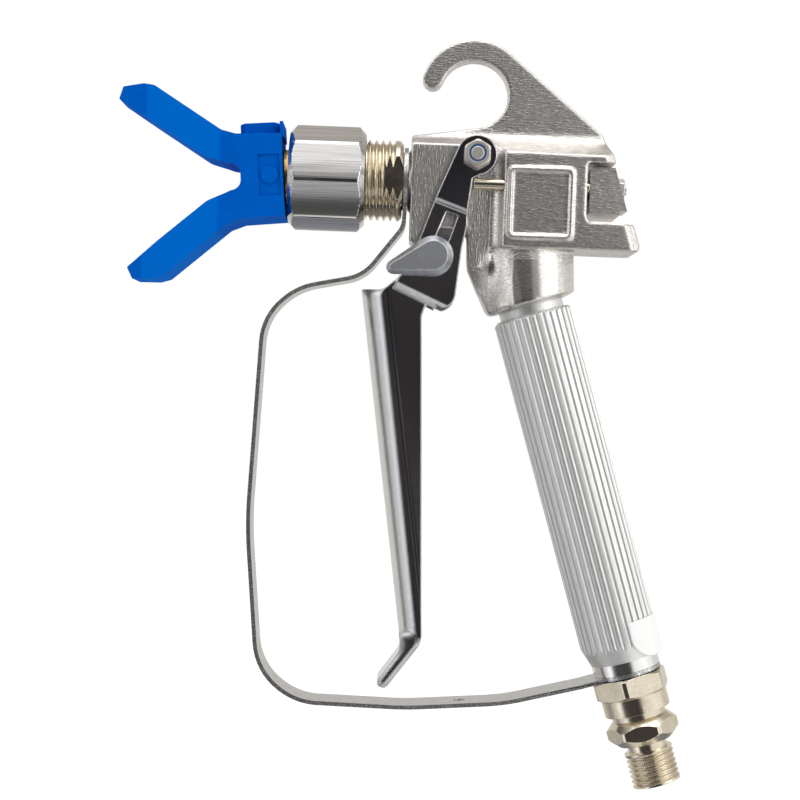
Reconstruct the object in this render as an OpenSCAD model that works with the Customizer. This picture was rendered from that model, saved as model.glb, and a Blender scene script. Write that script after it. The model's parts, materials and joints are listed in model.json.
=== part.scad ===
// Airless paint spray gun: a cast body with a hanging hook, a two-finger-wide lever trigger that
// pulls a ball-tipped needle through two side pins, a fluted handle that holds the paint filter,
// a hose swivel, and a reversible spray tip in a forked guard.
//
// Everything is drawn in the gun's own frame: the nozzle axis lies on X and sprays towards -X,
// x = 0 is the front face of the casting, and +Z is up. seat() then moves the origin to the
// end face of the hose thread. Lengths are in millimetres.

/* [Casting] */
// Width of the casting between the trigger arms
front_width = 17; // [16:0.5:19]
// Width of the thick rear part of the casting
rear_width = 25; // [24:0.5:28]
// Thickness of the flat web that carries the hook
web_thickness = 7; // [5:0.5:9]
// Height of the casting's front edge above the nozzle axis
nose_height = 12.3; // [11.8:0.1:13]
// Drop of the front lip below the nozzle axis
lip_drop = 17.3; // [15:0.1:18]
// Length of the casting from its front face to its rear bottom corner
casting_length = 63; // [61:0.5:68]
// Depth of the casting's flat underside below the nozzle axis
floor_drop = 17.9; // [17:0.1:20]
// Inside radius of the hanging hook
hook_radius = 9.4; // [8:0.1:10]
// Thickness of the hook around that circle
hook_thickness = 5.6; // [4:0.1:7]
// Height of the hook's centre above the nozzle axis
hook_height = 24.4; // [24:0.1:28]
// Distance of the hook's centre behind the front face
hook_setback = 16.8; // [15:0.1:20]
// Width of the blank label field
label_width = 17.5; // [16:0.1:18.5]
// Height of the blank label field
label_height = 19.2; // [17:0.1:19.6]
// Width of the raised border round it
label_border = 0.9; // [0.6:0.1:1.2]

/* [Needle valve] */
// Diameter of the nozzle thread in the casting
nozzle_thread = 14; // [13:0.1:15]
// Depth of the nozzle thread
nozzle_depth = 8.3; // [7:0.1:9]
// Diameter of the chamber behind it
chamber = 8.4; // [8:0.1:8.8]
// Diameter of the needle rod
needle = 3; // [2.6:0.1:3.2]
// Diameter of the valve ball
ball = 4.8; // [4.4:0.1:5.4]
// Hole in the carbide seat
seat_hole = 3.2; // [2.4:0.1:3.6]
// Diameter of each actuator pin
pin = 3; // [2.6:0.1:3.2]
// Distance of each actuator pin from the middle plane
pin_offset = 9.9; // [9.8:0.1:10.4]
// Wire of the needle's return spring
spring_wire = 0.9; // [0.7:0.05:0.9]
// Turns of the return spring
spring_turns = 4.5; // [3:0.5:4.5]

/* [Trigger] */
// Distance of the pivot behind the front face
pivot_x = 17.9; // [17.5:0.1:18.5]
// Height of the pivot above the nozzle axis
pivot_z = 6.75; // [6.6:0.05:7.5]
// Diameter of the pivot bolt
pivot_bolt = 4; // [3.5:0.1:4]
// Thickness of each trigger arm
arm_thickness = 2.4; // [2:0.1:2.8]
// Radius of the trigger arm around the pivot
arm_eye = 5.5; // [5:0.1:5.6]
// Half width of the rounded finger channel
channel_radius = 8; // [7:0.1:8.4]
// Wall of the finger channel
channel_wall = 1.8; // [1.4:0.1:2.4]
// Diameter of the lock lever's shaft
lock_shaft = 3.6; // [3:0.1:3.8]
// Length of the lock lever from its shaft to its tip
lock_length = 13.2; // [11:0.1:15]

/* [Handle] */
// Lean of the handle from the vertical, in degrees
lean = 17.1; // [16:0.1:18]
// Outside diameter of the fluted handle tube
handle_diameter = 22; // [21:0.2:23]
// Fluted length of the handle tube
handle_length = 98.5; // [95:0.5:110]
// Number of flutes
flutes = 36; // [24:1:40]
// Bore of the handle tube
handle_bore = 15; // [14:0.2:16]
// Diameter of the filter mesh
filter_diameter = 9.8; // [9:0.2:11]

/* [Hose swivel] */
// Width across flats of the upper hexagon
housing_hex = 19; // [18.6:0.1:22]
// Height of the upper hexagon
housing_hex_height = 5.9; // [5:0.1:7]
// Diameter of the swivel housing below its hexagon
housing_diameter = 18.3; // [17:0.1:18.5]
// Width across flats of the lower hexagon
stem_hex = 18; // [17:0.1:20]
// Height of the lower hexagon
stem_hex_height = 7; // [6:0.1:8]
// Diameter of the hose thread
hose_thread = 13.4; // [13:0.1:13.6]
// Length of the hose thread
hose_thread_length = 9.4; // [8:0.1:12]
// Bore through the swivel
swivel_bore = 6; // [5:0.1:6.5]

/* [Trigger guard] */
// Width of the guard strip
strip_width = 13.5; // [12:0.1:14]
// Thickness of the guard strip
strip_thickness = 1.1; // [0.9:0.1:1.4]

/* [Spray head] */
// Diameter of the spray head's thread
head_thread = 22.2; // [21.6:0.1:22.4]
// Distance across the corners of the eight-sided retaining nut
nut_corners = 29; // [28:0.1:30]
// Length of the retaining nut
nut_length = 20.8; // [19:0.1:22]
// Downward tilt of the loosely held tip guard, in degrees
droop = 4.8; // [0:0.1:5]
// Length of the guard from its flange to the ends of its fork
fork_reach = 49.2; // [46:0.1:54]
// Height of the fork's ends above and below its own axis
fork_spread = 26.6; // [24:0.1:30]
// Half width of the guard's hub
hub_half = 11.2; // [10.6:0.1:12]
// Height of the hub above its own axis
hub_height = 11.5; // [11:0.1:12.2]
// Diameter of the spray tip's barrel
barrel = 9; // [8:0.1:9.2]
// Length of the spray tip's finger flag
flag_length = 11; // [10:0.1:11.2]

/* [Fits] */
// Radial running clearance of shafts, journals and moving threads
running = 0.05; // [0.03:0.01:0.08]
// Radial clearance of pieces that are screwed or pushed together and stay put
seated = 0.02; // [0.01:0.01:0.05]
// Gap between faces that bear on each other
face_gap = 0.05; // [0.02:0.01:0.1]
// Side gap between sliding or turning faces
side_gap = 0.5; // [0.3:0.05:0.7]

/* [Hidden] */

$fn = 96;
past = 1;

// Stations along the handle axis, counted down from the top of the fluted tube
neck_face = -2.2;
handle_spigot = 18;
spigot_length = 9;
gasket_room = 1.3;
collar_start = handle_length;
collar_length = 3.1;
ring_start = collar_start + collar_length;
hex_start = ring_start + strip_thickness + 2 * face_gap;
housing_spigot_top = ring_start - 10.6;
housing_foot = hex_start + housing_hex_height + 4.6;
filter_length = handle_length - 12.5;
window_pitch = (filter_length - 10) / 4;
stem_face = housing_foot + 3 * face_gap;
stem_hex_start = stem_face + 1.55;
stem_neck_start = stem_hex_start + stem_hex_height;
thread_start = stem_neck_start + 2.5;
hose_end = thread_start + hose_thread_length;

// Top of the handle tube, and the end face of the hose thread
handle_top = [35.25, 0, -35.3];
hose_end_face = handle_top + hose_end * [sin(lean), 0, -cos(lean)];

// Casting
front_half = front_width / 2;
rear_half = rear_width / 2;
recess_end = 21.6;
slot_front = casting_length - 14.9;
slot_ceiling = 5.7;
slot_floor = 10.6;
web_foot = 14.6;
hook_centre = [hook_setback, hook_height];
hook_outer = hook_radius + hook_thickness;
back_slope = 51.2;
hook_tip = 161;
neck_front = 16.5;
boss_face = -0.6;
rear_top = [casting_length - 7.7, 7.7];
rear_foot = [casting_length, -floor_drop + 1.6];
rear_lean = atan((rear_foot[0] - rear_top[0]) / (rear_top[1] - rear_foot[1]));
rib_half = front_half - 0.4;
rib_lean = 23.8;
boss_radius = front_half - 0.3;

// Needle valve, from front to back
strip_front = boss_face - face_gap - strip_thickness;
stem_end = nozzle_depth - 2 * face_gap - 0.4;
seat_length = 2.8;
ball_x = stem_end + sqrt(pow(ball / 2, 2) - pow(seat_hole / 2, 2)) + face_gap;
packing_x = 29.6;
packing_length = 3.4;
gland_length = 3;
collar_x = packing_x + packing_length + gland_length + 0.6;
collar_thickness = 1.2;
spring_x = collar_x + collar_thickness + face_gap;
plug_length = 2.7;
plug_x = slot_front - plug_length;
spring_length = plug_x - spring_x - face_gap;
pin_z = -0.95;
pin_front = pivot_x - 0.6;
plate_x = slot_front + 0.7;
locknut_x = plate_x + 7.9;
locknut_length = 2.5;

// Trigger
arm_in = front_half + side_gap;
arm_out = arm_in + arm_thickness;
arm_face = arm_out - 1;
channel_lean = 8.43;
channel_top = [-12.3, -30.5];
lock_centre = [7.05, -21.1];
nylon_diameter = pivot_bolt + 0.8;

// Spray head
flange_x = -29.4;
nut_x = flange_x - 3.86;
nut_wall = 2.4;
diffuser_front = flange_x + 4;
insert_neck = 15.8;
hub_rear = -5.2;
barrel_x = -11.4;
flag_base = hub_height + 0.35;

// ---------- helpers ----------

// Puts the origin on the end face of the hose thread
module seat() translate(-hose_end_face) children();

// Local +Z runs up the handle axis, starting at a station
module on_handle(station) translate(handle_top) rotate([0, -lean, 0]) translate([0, 0, -station]) children();

// Local +Z runs backwards along the nozzle axis, starting at x
module on_axis(x) translate([x, 0, 0]) rotate([0, 90, 0]) children();

// The guard's own frame, tilted about the middle of its flange
module on_guard() translate([flange_x, 0, 0]) rotate([0, -droop, 0]) children();

module on_guard_axis(x) translate([x, 0, 0]) rotate([0, 90, 0]) children();

// An outline in the XZ plane, extruded from y = from to y = to
module side(points, from, to) translate([0, to, 0]) rotate([90, 0, 0]) linear_extrude(to - from) polygon(points);

module tube(outer, inner, length) difference() {
    cylinder(d = outer, h = length);
    translate([0, 0, -past]) cylinder(d = inner, h = length + 2 * past);
}

// Hexagonal prism cut from round bar a little smaller than its corners, and bevelled at both ends
module hex_prism(flats, height, share = 0.96, bevel = 30) {
    face = flats / 2 * share;
    reach = flats / 2 / cos(25.5);
    rise = (reach - face) * tan(bevel);
    intersection() {
        cylinder(d = flats / cos(30), h = height, $fn = 6);
        rotate_extrude() polygon([[0, 0], [face, 0], [reach, rise], [reach, height - rise], [face, height], [0, height]]);
    }
}

function unit(v) = v / norm(v);
function turn(a) = a > 180 ? a - 360 : a < -180 ? a + 360 : a;

// Arc points from angle a to angle b around a centre
function arc(centre, radius, a, b, steps = 12) =
    [for (i = [0:steps]) centre + radius * [cos(a + (b - a) * i / steps), sin(a + (b - a) * i / steps)]];

// One corner of an outline, replaced by an arc of its radius
function corner(before, at, after, radius, steps) =
    let (u = unit(before - at), v = unit(after - at), half = acos(u * v) / 2,
        centre = at + unit(u + v) * radius / sin(half),
        start = at + u * radius / tan(half) - centre, end = at + v * radius / tan(half) - centre,
        a = atan2(start[1], start[0]), sweep = turn(atan2(end[1], end[0]) - a))
    arc(centre, radius, a, a + sweep, steps);

// An outline of [x, z, corner radius] points with its corners rounded
function rounded(points, steps = 6) = let (n = len(points)) [for (i = [0:n - 1])
    let (p = points[i], at = [p[0], p[1]], b = points[(i + n - 1) % n], a = points[(i + 1) % n])
    each (p[2] == 0 ? [at] : corner([b[0], b[1]], at, [a[0], a[1]], p[2], steps))];

// A path of [x, z, bend radius] points with its bends rounded and its ends left alone
function bent(points, steps = 8) = let (n = len(points)) [for (i = [0:n - 1])
    let (p = points[i], at = [p[0], p[1]])
    each (i == 0 || i == n - 1 ? [at] : corner([points[i - 1][0], points[i - 1][1]], at,
        [points[i + 1][0], points[i + 1][1]], p[2], steps))];

// The outline of a strip of even thickness along a path
function strip_outline(path, thickness) = let (n = len(path),
    normal = [for (i = [0:n - 1]) let (d = unit(path[min(i + 1, n - 1)] - path[max(i - 1, 0)])) [-d[1], d[0]]])
    concat([for (i = [0:n - 1]) path[i] + normal[i] * thickness / 2],
        [for (i = [n - 1:-1:0]) path[i] - normal[i] * thickness / 2]);

// A coil spring along +Z: one unbroken tube of 6 sides with 8 rings to a turn
module coil(radius, wire, length, turns) {
    rings = round(turns * 8);
    rise = (length - wire) / rings;
    points = [for (i = [0:rings]) let (a = i * 45) for (j = [0:5]) let (b = j * 60)
        [(radius + wire / 2 * cos(b)) * cos(a), (radius + wire / 2 * cos(b)) * sin(a),
            wire / 2 + i * rise + wire / 2 * sin(b)]];
    walls = [for (i = [0:rings - 1]) for (j = [0:5]) let (k = (j + 1) % 6)
        for (t = [[i * 6 + j, (i + 1) * 6 + j, (i + 1) * 6 + k], [i * 6 + j, (i + 1) * 6 + k, i * 6 + k]]) t];
    start = [for (j = [1:4]) [0, j, j + 1]];
    end = [for (j = [1:4]) [rings * 6, rings * 6 + j + 1, rings * 6 + j]];
    polyhedron(points, concat(walls, start, end));
    echo(least_gap = rise * 8 - wire);
}

// ---------- casting ----------

// Side outline of the hook and web
hook_outline = concat(
    arc(hook_centre, hook_outer, hook_tip - 2, back_slope, 20),
    [[casting_length - 10.5, 14.5], [casting_length - 7.3, slot_ceiling], [slot_front, slot_ceiling],
        [24, 4]],
    [[12, 4], [12, nose_height + 1.6]],
    arc(hook_centre, hook_radius, 270, 360, 10), arc(hook_centre, hook_radius, 0, hook_tip + 2, 16));

// Side outline of the thick casting under the web
casting_outline = rounded([
    [0, nose_height, 0.8], [hook_setback + 2.6, hook_height - hook_radius + 0.3, 0],
    [casting_length - 10.5, 14.5, 1.2], [rear_top[0], rear_top[1], 0],
    [rear_foot[0], rear_foot[1], 0.8], [casting_length - 0.2, -floor_drop, 0.8],
    [22.5, -floor_drop, 0.5], [22.5, -23.7, 0], [neck_front + 0.2, -23.7, 1.5],
    [neck_front - 0.2, -13.1, 2], [5.5, -13.2, 4],
    [2.6, -lip_drop, 0.6], [0.3, -lip_drop, 0.6]]);

// Side outline of the rib that runs down in front of the neck
rib_outline = [[neck_front + 0.4, -22], [neck_front + 0.2, -23.7], [22.6, -37.1], [30, -34.8], [30, -22]];

// Half plan of the casting: the recessed face for the trigger arms, then the wide part
function half_plan() = concat([[-past, 0], [-past, front_half - 0.6], [0.5, front_half]],
    arc([recess_end, rear_half], rear_half - front_half, 270, 350, 8),
    [[casting_length + past, rear_half], [casting_length + past, 0]]);

// Half cross-section: flat side, rounded shoulder, hollow fillet up to the web
function half_section() = let (web = web_thickness / 2, fillet = web_foot - 11)
    concat([[0, -45], [rear_half, -45]],
        arc([rear_half - 1.2, 6.8], 1.2, 0, 60, 4),
        arc([web + fillet, web_foot], fillet, 240, 180, 6),
        [[web, 30], [0, 30]]);

module mirrored(axis) {
    children();
    mirror(axis) children();
}

module casting_block() intersection() {
    side(casting_outline, -rear_half - past, rear_half + past);
    translate([0, 0, -45]) linear_extrude(90) mirrored([0, 1]) polygon(half_plan());
    translate([-past, 0, 0]) rotate([90, 0, 90]) linear_extrude(casting_length + 3) mirrored([1, 0]) polygon(half_section());
    // bevels down both sides of the sloping rear end
    translate([rear_top[0], 0, rear_top[1]]) rotate([0, -rear_lean, 0]) translate([0, 0, -50]) linear_extrude(100)
        mirrored([0, 1]) polygon([[-80, 0], [-80, rear_half + past], [-4, rear_half + past], [past, rear_half - 2.8], [past, 0]]);
}

// Rib with bevelled front edges
module rib() intersection() {
    side(rib_outline, -rib_half, rib_half);
    translate([neck_front + 0.2, 0, -23.7]) rotate([0, -rib_lean, 0]) translate([0, 0, -40]) linear_extrude(80)
        mirrored([0, 1]) polygon([[-past, 0], [-past, 3.9], [4.8, rib_half], [40, rib_half + past], [40, 0]]);
}

// Round neck that flares from the handle's face into the casting's underside
module neck() hull() {
    on_handle(neck_face) cylinder(r = 9.5, h = 1.7, $fn = 32);
    on_handle(neck_face - 0.8) cylinder(r = 12.7, h = 0.9, $fn = 32);
    on_handle(neck_face - 5) cylinder(r = 12.2, h = 0.5, $fn = 32);
    translate([33, 0, -floor_drop]) linear_extrude(0.4) scale([1, 0.88]) circle(r = 13, $fn = 32);
}

// Raised border of the blank label field
module label_frame() translate([0, -rear_half + past, 0]) rotate([90, 0, 0]) linear_extrude(past + 0.5) difference() {
    label_field(0);
    label_field(label_border);
}

module label_field(inset) translate([26.8 + inset, -15.4 + inset]) offset(r = 1.4 - inset) offset(delta = inset - 1.4)
    square([label_width - 2 * inset, label_height - 2 * inset]);

module gun_body() seat() color("gainsboro") difference() {
    union() {
        side(hook_outline, -web_thickness / 2, web_thickness / 2);
        translate([hook_centre[0], 0, hook_centre[1]]) rotate([0, -hook_tip, 0])
            translate([hook_radius + hook_thickness / 2, 0, 0]) rotate([90, 0, 0])
            cylinder(d = hook_thickness, h = web_thickness, center = true);
        casting_block();
        rib();
        neck();
        label_frame();
        on_axis(boss_face) cylinder(r = boss_radius, h = 2 * past);
    }
    on_axis(boss_face - past) cylinder(d = nozzle_thread, h = nozzle_depth - boss_face + past);
    on_axis(0) cylinder(d = chamber, h = slot_front + past);
    on_handle(past) cylinder(d = handle_spigot, h = spigot_length + gasket_room + past);
    on_handle(0) cylinder(d = 6, h = 36);
    translate([pivot_x, 0, pivot_z]) rotate([90, 0, 0]) cylinder(d = pivot_bolt, h = rear_width, center = true);
    mirrored([0, 1, 0]) translate([0, pin_offset, pin_z]) on_axis(pin_front - past) cylinder(d = pin + 2 * running, h = slot_front);
    side(rounded([[slot_front, slot_ceiling, 0.6], [slot_front, -slot_floor, 2.2],
        [casting_length + 4, -slot_floor, 0], [casting_length + 4, slot_ceiling, 0]]), -rear_width, rear_width);
}

// ---------- spray head ----------

module diffuser() seat() color("burlywood") difference() {
    union() {
        on_axis(diffuser_front) rotate_extrude() polygon([[0, 0], [head_thread / 2 - 1, 0], [head_thread / 2, 1],
            [head_thread / 2, -diffuser_front - 3], [head_thread / 2 - 1, -diffuser_front - 2.05], [0, -diffuser_front - 2.05]]);
        on_axis(-2.1) cylinder(d = nozzle_thread + 2, h = 2.1 + strip_front - face_gap);
        on_axis(-2.1) cylinder(d = nozzle_thread - 2 * seated, h = 2.1 + stem_end);
    }
    on_axis(diffuser_front - past) cylinder(d = 4, h = 60);
    on_axis(diffuser_front - past) cylinder(d1 = 14, d2 = 4, h = 6);
    on_axis(stem_end - seat_length) cylinder(d = 8, h = seat_length + past);
    mirrored([0, 1, 0]) translate([-7.2, 9.6, -head_thread]) cube([5.3, 4, 2 * head_thread]);
}

module carbide_seat() seat() color("dimgray") on_axis(stem_end - seat_length + face_gap)
    tube(8 - 2 * seated, seat_hole, seat_length - face_gap);

module seat_gasket() seat() color("white") on_axis(stem_end + face_gap) tube(nozzle_thread - 4 * seated, 9, 0.4);

module retaining_nut() seat() color("lightgray") difference() {
    intersection() {
        on_axis(nut_x) rotate(8.3) cylinder(d = nut_corners, h = nut_length, $fn = 8);
        on_axis(nut_x) rotate_extrude() polygon([[0, 0], [nut_corners / 2 - 1.9, 0], [nut_corners / 2 + 0.6, 2.5],
            [nut_corners / 2 + 0.6, nut_length - 2.5], [nut_corners / 2 - 1.9, nut_length], [0, nut_length]]);
    }
    on_axis(nut_x - past) cylinder(d = insert_neck + 1.2, h = nut_length + 2 * past);
    on_axis(nut_x + nut_wall) cylinder(d = head_thread + 2 * running, h = nut_length);
}

// Fork outline in the guard's own frame, upper half
function fork_half() = [
    [hub_rear, hub_height - 0.3, 0], [barrel_x - flag_length / 2 - 0.6, hub_height, 2], [-21.5, hub_height + 1.5, 2],
    [10.2 - fork_reach, fork_spread - 0.7, 2], [7.2 - fork_reach, fork_spread, 1], [1.4 - fork_reach, fork_spread - 0.3, 0.5],
    [-fork_reach, fork_spread - 3.6, 0.5], [-26.2, 6.1, 8], [-19.6, 3.7, 3], [-16.7, 3.4, 2.6], [-16.7, 0, 0]];

fork_outline = let (half = fork_half(), n = len(half)) rounded(concat(half,
    [for (i = [n - 2:-1:0]) [half[i][0], -half[i][1], half[i][2]]]));

// Half plan of the guard: hub, arms, then the tips drawn in
function guard_plan() = [[hub_rear, 0], [hub_rear, hub_half], [-18, hub_half], [-21, hub_half - 1.4], [9 - fork_reach, hub_half - 1.4],
    [-fork_reach, hub_half - 4.2], [-fork_reach, 0]];

module tip_guard() seat() color("dodgerblue") on_guard() difference() {
    union() {
        intersection() {
            side(fork_outline, -2 * hub_half, 2 * hub_half);
            translate([0, 0, -fork_spread - past]) linear_extrude(2 * fork_spread + 2 * past) mirrored([0, 1]) polygon(guard_plan());
        }
        // stop lug for the flag
        translate([hub_rear - 0.4, -hub_half + 3, hub_height - past]) cube([0.9, 2 * hub_half - 6, 4.3]);
    }
    translate([barrel_x, 0, -hub_height + 1.6]) cylinder(d = barrel + 2 * running, h = 3 * hub_height);
    on_guard_axis(hub_rear - 1.4) cylinder(d = 14 + 2 * seated, h = 4);
    // spray opening through the back of the notch
    on_guard_axis(-20) cylinder(d = 5, h = 6);
    // side panels
    mirrored([0, 1, 0]) difference() {
        translate([hub_rear - 6.7, hub_half - 0.5, -5.6]) cube([5.9, past, 11.2]);
        translate([hub_rear - 3.6, hub_half - past, 0]) rotate([-90, 0, 0]) cylinder(r = 2.4, h = 2 * past);
    }
}

module guard_insert() seat() color("goldenrod") on_guard() difference() {
    union() {
        on_guard_axis(hub_rear - 1.4 + face_gap) cylinder(d = 14, h = 1.4);
        on_guard_axis(hub_rear + face_gap) cylinder(d = insert_neck, h = -hub_rear);
        on_guard_axis(0) cylinder(d = 20, h = 2.6);
    }
    on_guard_axis(-20) cylinder(d = 4, h = 30);
    on_guard_axis(hub_rear - 1.4) cylinder(d = 8, h = 3);
}

module tip_seal() seat() color("royalblue") on_guard() on_guard_axis(hub_rear - 1.4 + face_gap) tube(8 - 2 * seated, 3, 3 - face_gap);

module tip_barrel() seat() color("silver") on_guard() translate([barrel_x, 0, 0]) difference() {
    translate([0, 0, -hub_height + 1.6 + face_gap]) cylinder(d = barrel, h = 2 * hub_height - 1.6);
    translate([-barrel, 0, 0]) rotate([0, 90, 0]) cylinder(d = 2.4, h = 2 * barrel);
    translate([-barrel, 0, 0]) rotate([0, 90, 0]) cylinder(d = 3.6, h = barrel - 1);
}

module tip_orifice() seat() color("dimgray") on_guard() translate([barrel_x - 3.2, 0, 0]) rotate([0, 90, 0]) tube(3.6 - 2 * seated, 0.8, 2.1);

module tip_flag() seat() color("dodgerblue") on_guard() translate([barrel_x, 0, flag_base]) difference() {
    intersection() {
        translate([-flag_length, -3.5, 0]) cube([2 * flag_length, 7, 3.4]);
        cylinder(d = flag_length, h = 4);
    }
    translate([0, 0, 2]) mirrored([0, 1, 0]) translate([-2.8, 1, 0]) cube([5.6, 1.4, 2]);
}

// ---------- needle valve ----------

module needle() seat() color("silver") union() {
    translate([ball_x, 0, 0]) sphere(d = ball);
    on_axis(ball_x) cylinder(d = needle, h = locknut_x + locknut_length + 0.6 - ball_x);
    on_axis(collar_x) cylinder(d = chamber - 1.2, h = collar_thickness);
}

module packing_seal() seat() color("white") on_axis(packing_x) tube(chamber - 2 * seated, needle + 2 * running, packing_length);

module packing_gland() seat() color("goldenrod") on_axis(packing_x + packing_length + face_gap)
    tube(chamber - 2 * seated, needle + 2 * running, gland_length - face_gap);

module return_spring() seat() color("silver") on_axis(spring_x) coil((chamber - 1.2 - spring_wire) / 2, spring_wire, spring_length, spring_turns);

module spring_plug() seat() color("goldenrod") on_axis(plug_x) tube(chamber - 2 * seated, needle + 2 * running, plug_length);

module actuator_plate() seat() color("gainsboro") difference() {
    union() {
        side([[plate_x, 4.2], [plate_x + 5, 4.2], [plate_x + 8.6, -7.9], [plate_x, -7.9]], -rear_half + 1.3, rear_half - 1.3);
        side([[plate_x + 2, 5.3], [plate_x + 7.3, 5.3], [plate_x + 10.9, -6.5], [plate_x + 2, -6.5]], -6, 6);
    }
    on_axis(plate_x - past) cylinder(d = needle + 2 * seated, h = 20);
    on_axis(locknut_x) cylinder(d = 7.4, h = 20);
}

module needle_locknut() seat() color("silver") on_axis(locknut_x + face_gap) difference() {
    hex_prism(5.5, locknut_length);
    translate([0, 0, -past]) cylinder(d = needle + 2 * seated, h = 10);
}

module actuator_pins() seat() color("tan") mirrored([0, 1, 0]) translate([0, pin_offset, pin_z]) on_axis(pin_front)
    cylinder(d = pin, h = plate_x - face_gap - pin_front);

// ---------- trigger ----------

arm_outline = concat(arc([pivot_x, pivot_z], arm_eye, -80, 158.6, 28), bent([
    [7.25, -4.8, 0], [2.8, -17.4, 0], [-1, -25.7, 0], [-3.8, -30, 0],
    [8.3, -35, 0], [13.1, -35.6, 4], [14.8, -18.5, 4], [16, -12.4, 3], [15.9, -8.8, 4],
    [pivot_x - 0.95, 0.3, 0]]));

shelf_start = [-2.6, -28.1];
shelf_slope = 23.5;

// Side outline of the finger channel
channel_outline = rounded([[-13.4, -30.4, 0], [-6.4, -30.6, 4], [-1.6, -26.4, 0], [8, -26.4, 0], [4.6, -37.3, 0],
    [7.6, -117.8, 10], [8, -126.4, 6], [-1.5, -139.4, 1.5], [-4.7, -138.6, 1.3], [2.4, -128.2, 6], [1, -121, 0], [-10.4, -60, 0]]);

// A [y, height] section extruded along a line that falls by an angle in the XZ plane
module along(start, slope, length) translate([start[0], 0, start[1]]) rotate([0, slope, 0]) rotate([90, 0, 90])
    linear_extrude(length) children();

module finger_channel() intersection() {
    translate([channel_top[0], 0, channel_top[1]]) rotate([0, -channel_lean, 0]) translate([0, 0, -97]) linear_extrude(110) difference() {
        union() {
            translate([channel_radius, 0]) circle(r = channel_radius);
            translate([channel_radius, -channel_radius]) square([20, 2 * channel_radius]);
        }
        translate([channel_radius, 0]) circle(r = channel_radius - channel_wall);
        translate([channel_radius, channel_wall - channel_radius]) square([21, 2 * (channel_radius - channel_wall)]);
    }
    side(channel_outline, -channel_radius - past, channel_radius + past);
}

module trigger() seat() color("slategray") difference() {
    union() {
        mirrored([0, 1, 0]) {
            side(arm_outline, arm_in, arm_out);
            // shelf that draws each arm in to the channel
            along(shelf_start, shelf_slope, 12.4) translate([channel_radius - channel_wall / 2, -2.2]) square([2.6, 4]);
        }
        finger_channel();
        // toe at the foot of the channel
        side(rounded([[1.6, -124, 0], [7.8, -124, 0], [7.9, -126.6, 5], [-1.5, -139.4, 1.5], [-4.7, -138.6, 1.3], [2.2, -128.8, 5]]),
            -channel_radius + 0.8, channel_radius - 0.8);
    }
    translate([pivot_x, 0, pivot_z]) rotate([90, 0, 0]) cylinder(d = pivot_bolt + 2 * running, h = 60, center = true);
    translate([lock_centre[0], 0, lock_centre[1]]) rotate([90, 0, 0]) cylinder(d = lock_shaft + 2 * running, h = 60, center = true);
    // window in the near arm only
    side([[10.2, -8.9], [13.3, -9.9], [11, -17], [7.5, -16]], -arm_out - past, 0);
    mirrored([0, 1, 0]) {
        // each arm is stepped down below a ledge, where the lock lever lies
        along([1.7, -4.9], 19.4, 40) polygon([[arm_out + 0.4, 2.7], [arm_out - 0.4, 0.9], [arm_out - 0.72, 0.6],
            [arm_out - 0.92, 0.25], [arm_face, -0.4], [arm_face, -40], [arm_out + 0.4, -40]]);
        // and bevelled at its foot
        along(shelf_start - [6, -2.6], shelf_slope, 40) polygon([[arm_face + 2, 1.7], [channel_radius + 0.1, -2.3],
            [channel_radius + 0.1, -9], [arm_face + 2, -9]]);
    }
}

module pivot_bolt() seat() color("silver") translate([pivot_x, 0, pivot_z]) rotate([90, 0, 0]) union() {
    translate([0, 0, -arm_out - 0.2 - 2.8]) rotate(30) hex_prism(7, 2.8);
    translate([0, 0, -arm_out - 0.2 - past]) cylinder(d = pivot_bolt, h = 2 * arm_out + 5.2);
    translate([0, 0, arm_out + 4]) cylinder(d1 = pivot_bolt, d2 = pivot_bolt - 0.8, h = 0.5);
}

module pivot_nut() seat() color("silver") translate([pivot_x, -arm_out - 0.2, pivot_z]) rotate([90, 0, 0]) difference() {
    union() {
        rotate(30) hex_prism(7, 3.4);
        cylinder(d = 6.4, h = 4.2);
    }
    translate([0, 0, -past]) cylinder(d = pivot_bolt + 2 * seated, h = 10);
    translate([0, 0, 3.2]) cylinder(d = nylon_diameter, h = 2);
}

module nylon_ring() seat() color("steelblue") translate([pivot_x, -arm_out - 0.2 - 3.2 - face_gap, pivot_z]) rotate([90, 0, 0])
    tube(nylon_diameter - 2 * seated, pivot_bolt + 2 * seated, 0.8 - face_gap);

// Lock lever on the near side, its shaft through both arms, with a groove for the clip
module trigger_lock() seat() color("darkgray") translate([lock_centre[0], 0, lock_centre[1]]) {
    translate([0, -arm_out - 0.3, 0]) rotate([90, 0, 0]) rotate(198) hull() {
        linear_extrude(0.8) lever_outline(5.4, 1.9, lock_length);
        linear_extrude(3.2) lever_outline(3.9, 1, lock_length - 1);
    }
    rotate([90, 0, 0]) translate([0, 0, arm_face + face_gap]) cylinder(d = 7, h = arm_out - arm_face + 0.3 + past / 2);
    rotate([90, 0, 0]) difference() {
        translate([0, 0, -arm_face - 1.6]) cylinder(d = lock_shaft, h = 2 * arm_face + 2.4);
        translate([0, 0, -arm_face - 1]) tube(lock_shaft + 2, lock_shaft - 0.8, 0.7);
    }
}

// A round end of one radius tapering to a smaller one at the tip
module lever_outline(big, small, length) {
    slope = acos((big - small) / (length - small));
    polygon(concat(arc([0, 0], big, slope, 360 - slope, 24), arc([length - small, 0], small, -slope, slope, 8)));
}

module lock_clip() seat() color("dimgray") translate([lock_centre[0], arm_face + 0.35, lock_centre[1]]) rotate([-90, 0, 0])
    tube(7, lock_shaft - 0.8 + 2 * seated, 0.6);

// ---------- trigger guard ----------

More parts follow.
